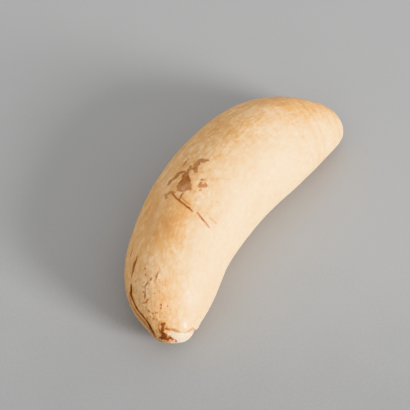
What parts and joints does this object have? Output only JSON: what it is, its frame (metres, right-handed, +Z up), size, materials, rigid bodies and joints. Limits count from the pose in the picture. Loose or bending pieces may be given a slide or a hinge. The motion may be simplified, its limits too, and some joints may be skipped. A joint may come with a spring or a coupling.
{
  "type": "sperm whale tooth",
  "caption": "Stout curved tooth, polished, with a blunt rounded root, a small worn crown beyond a fine rim, and cracks along its outer side, lying on its side.",
  "frame": {"origin": "on the surface the tooth lies on, under the centre of its bounding box", "axes": "+X along the chord from the blunt root to the worn crown, -Y towards the outer side of the bend, +Z up"},
  "size_m": [0.1534, 0.0598, 0.0442],
  "materials": {
    "polished_tooth": "satin"
  },
  "bodies": {
    "root": {"tooth": "polished_tooth"}
  },
  "joints": []
}
